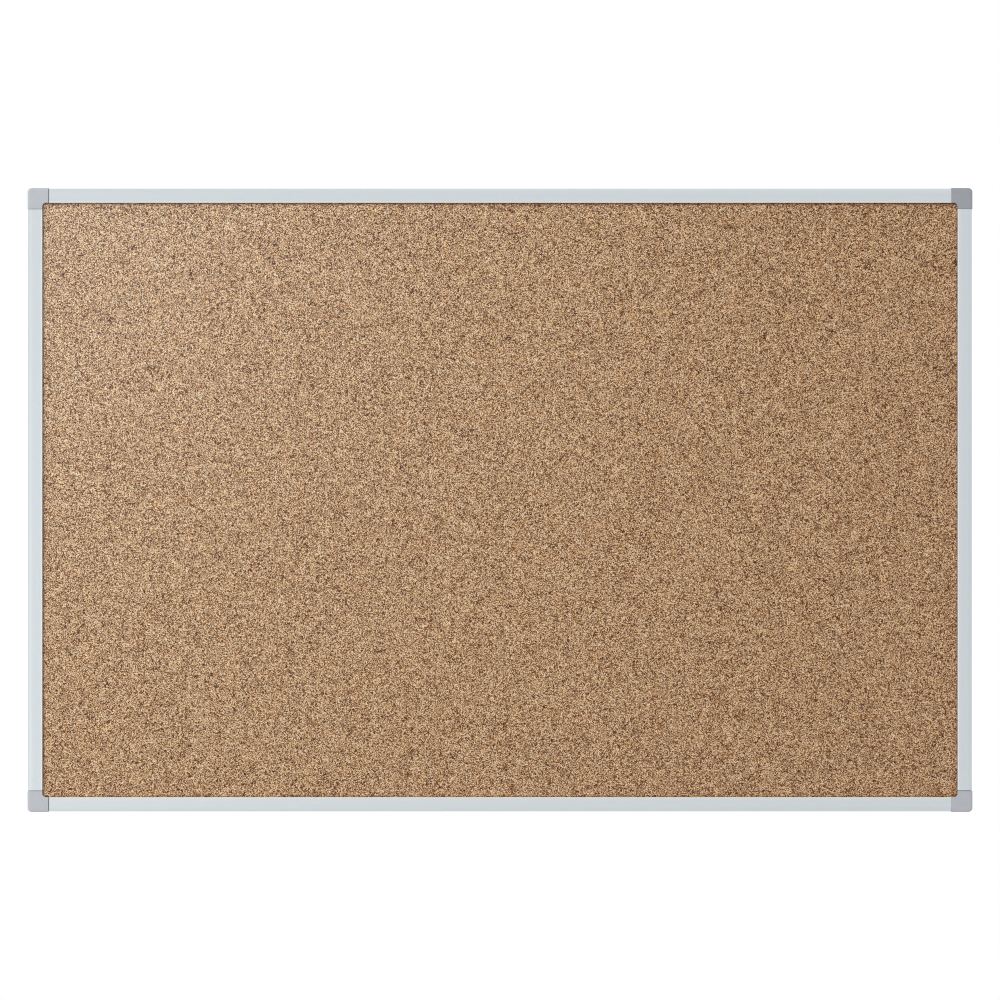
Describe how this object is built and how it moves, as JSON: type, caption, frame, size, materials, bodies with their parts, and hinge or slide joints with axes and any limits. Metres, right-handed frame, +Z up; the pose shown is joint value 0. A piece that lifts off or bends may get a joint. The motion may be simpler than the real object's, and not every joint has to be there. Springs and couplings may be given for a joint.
{
  "type": "cork bulletin board",
  "caption": "Landscape cork pin board in a slim silver aluminium frame, with grey plastic corner caps that pull off to show the wall screws.",
  "frame": {"origin": "centre of the board on the wall plane, which is the plane of the rear faces of the rails and brackets", "axes": "+X along the width, to the right seen from the front; +Z up; +Y into the wall, so the cork faces -Y"},
  "size_m": [0.904, 0.0164, 0.597],
  "materials": {
    "anodised_aluminium": "satin",
    "cap_plastic": "satin",
    "bracket_plastic": "matte",
    "zinc_steel": "satin",
    "cork": "matte",
    "softboard": "matte",
    "kraft_backing": "matte"
  },
  "bodies": {
    "board": {"rail_top": "anodised_aluminium", "rail_right": "anodised_aluminium", "rail_bottom": "anodised_aluminium", "rail_left": "anodised_aluminium", "cork_sheet": "cork", "core_board": "softboard", "backing_sheet": "kraft_backing", "corner_bracket_top_left": "bracket_plastic", "corner_bracket_top_right": "bracket_plastic", "corner_bracket_bottom_right": "bracket_plastic", "corner_bracket_bottom_left": "bracket_plastic", "tang_screw_top_left_1": "zinc_steel", "tang_screw_top_left_2": "zinc_steel", "tang_screw_top_right_1": "zinc_steel", "tang_screw_top_right_2": "zinc_steel", "tang_screw_bottom_right_1": "zinc_steel", "tang_screw_bottom_right_2": "zinc_steel", "tang_screw_bottom_left_1": "zinc_steel", "tang_screw_bottom_left_2": "zinc_steel"},
    "cap_top_left": {"corner_cap_top_left": "cap_plastic"},
    "cap_top_right": {"corner_cap_top_right": "cap_plastic"},
    "cap_bottom_right": {"corner_cap_bottom_right": "cap_plastic"},
    "cap_bottom_left": {"corner_cap_bottom_left": "cap_plastic"}
  },
  "joints": [
    {"name": "cap_top_left_pull", "type": "slide", "parent": "board", "child": "cap_top_left", "axis": [0, -1, 0], "range_m": [0, 0.03]},
    {"name": "cap_top_right_pull", "type": "slide", "parent": "board", "child": "cap_top_right", "axis": [0, -1, 0], "range_m": [0, 0.03]},
    {"name": "cap_bottom_right_pull", "type": "slide", "parent": "board", "child": "cap_bottom_right", "axis": [0, -1, 0], "range_m": [0, 0.03]},
    {"name": "cap_bottom_left_pull", "type": "slide", "parent": "board", "child": "cap_bottom_left", "axis": [0, -1, 0], "range_m": [0, 0.03]}
  ]
}
